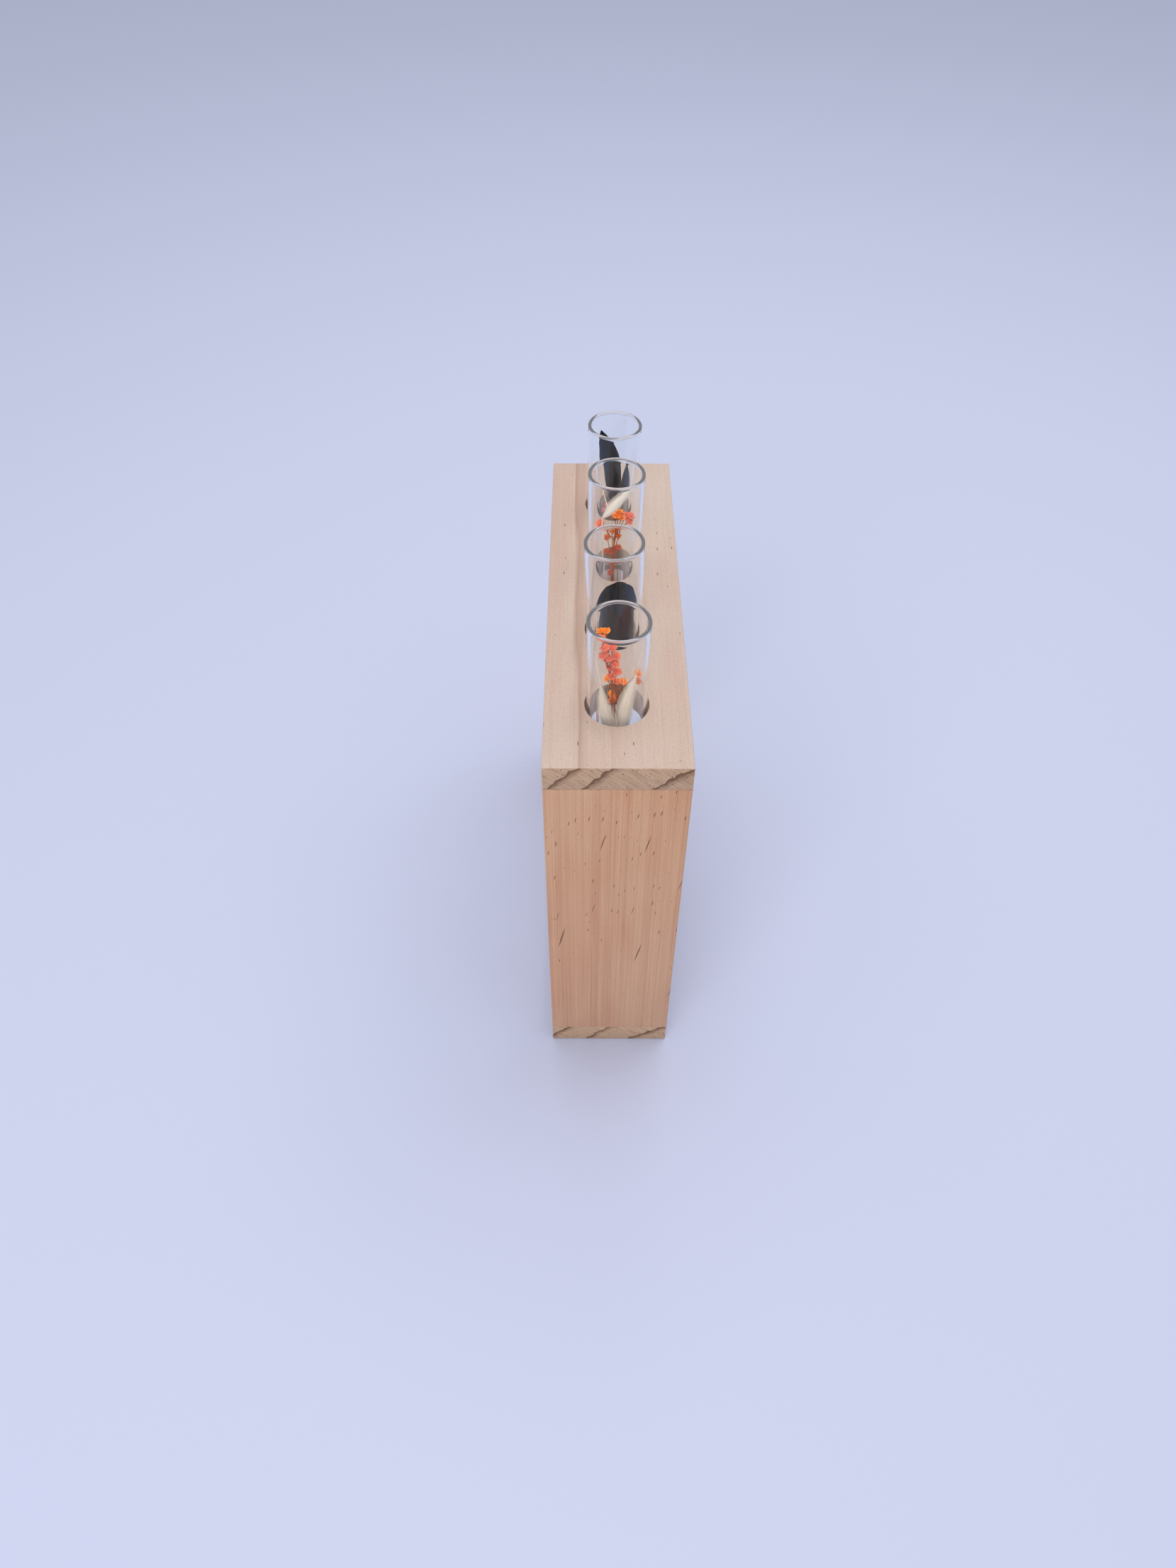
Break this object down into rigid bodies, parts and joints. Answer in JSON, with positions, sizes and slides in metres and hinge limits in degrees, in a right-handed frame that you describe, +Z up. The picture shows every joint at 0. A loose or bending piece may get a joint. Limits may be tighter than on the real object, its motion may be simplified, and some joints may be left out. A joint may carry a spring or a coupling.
{
  "type": "vial vase stand",
  "caption": "Open square pine frame whose drilled top board holds upright glass vials with dried flowers; the vials and the bunches lift out.",
  "frame": {"origin": "centre of the base board's underside", "axes": "+Z up, along the vials; the boards run along Y, with the end nearest the picture's camera at -Y; X is across the boards"},
  "size_m": [0.043, 0.154, 0.1882],
  "materials": {
    "top_pine": "planed, unsealed",
    "base_pine": "planed, unsealed",
    "end_pine": "planed, unsealed",
    "dowel_beech": "plain",
    "vial_glass": "clear, fire-polished rim",
    "coral_florets": "dry, matt",
    "orange_florets": "dry, matt",
    "pink_florets": "dry, matt",
    "oat_husk": "dry, silky",
    "dark_leaf": "preserved, leathery"
  },
  "bodies": {
    "stand": {"top_board": "top_pine", "base_board": "base_pine", "front_end_board": "end_pine", "rear_end_board": "end_pine", "dowel_base_front_left": "dowel_beech", "dowel_base_front_right": "dowel_beech", "dowel_base_rear_left": "dowel_beech", "dowel_base_rear_right": "dowel_beech", "dowel_top_front_left": "dowel_beech", "dowel_top_front_right": "dowel_beech", "dowel_top_rear_left": "dowel_beech", "dowel_top_rear_right": "dowel_beech"},
    "vial_1": {"vial_1": "vial_glass"},
    "vial_2": {"vial_2": "vial_glass"},
    "vial_3": {"vial_3": "vial_glass"},
    "vial_4": {"vial_4": "vial_glass"},
    "bunch_1": {"coral_sprig_1": "coral_florets", "orange_sprig_1": "orange_florets", "oat_spikelet_1": "oat_husk"},
    "bunch_2": {"broad_leaf_2": "dark_leaf", "small_leaf_2": "dark_leaf"},
    "bunch_3": {"oat_spikelet_3": "oat_husk", "orange_sprig_3": "orange_florets", "coral_sprig_3": "coral_florets"},
    "bunch_4": {"long_leaf_4": "dark_leaf", "small_leaf_4": "dark_leaf", "pink_sprig_4": "pink_florets"}
  },
  "joints": [
    {"name": "vial_1_lift", "type": "slide", "parent": "stand", "child": "vial_1", "axis": [0, 0, 1], "range_m": [0, 0.16]},
    {"name": "vial_2_lift", "type": "slide", "parent": "stand", "child": "vial_2", "axis": [-0.0235, 0, 0.9997], "range_m": [0, 0.16]},
    {"name": "vial_3_lift", "type": "slide", "parent": "stand", "child": "vial_3", "axis": [0.01, 0, 1], "range_m": [0, 0.16]},
    {"name": "vial_4_lift", "type": "slide", "parent": "stand", "child": "vial_4", "axis": [0.0108, 0, 0.9999], "range_m": [0, 0.16]},
    {"name": "bunch_1_lift", "type": "slide", "parent": "vial_1", "child": "bunch_1", "axis": [0, 0, 1], "range_m": [0, 0.19]},
    {"name": "bunch_2_lift", "type": "slide", "parent": "vial_2", "child": "bunch_2", "axis": [-0.0235, 0, 0.9997], "range_m": [0, 0.19]},
    {"name": "bunch_3_lift", "type": "slide", "parent": "vial_3", "child": "bunch_3", "axis": [0.01, 0, 1], "range_m": [0, 0.19]},
    {"name": "bunch_4_lift", "type": "slide", "parent": "vial_4", "child": "bunch_4", "axis": [0.0108, 0, 0.9999], "range_m": [0, 0.19]}
  ]
}
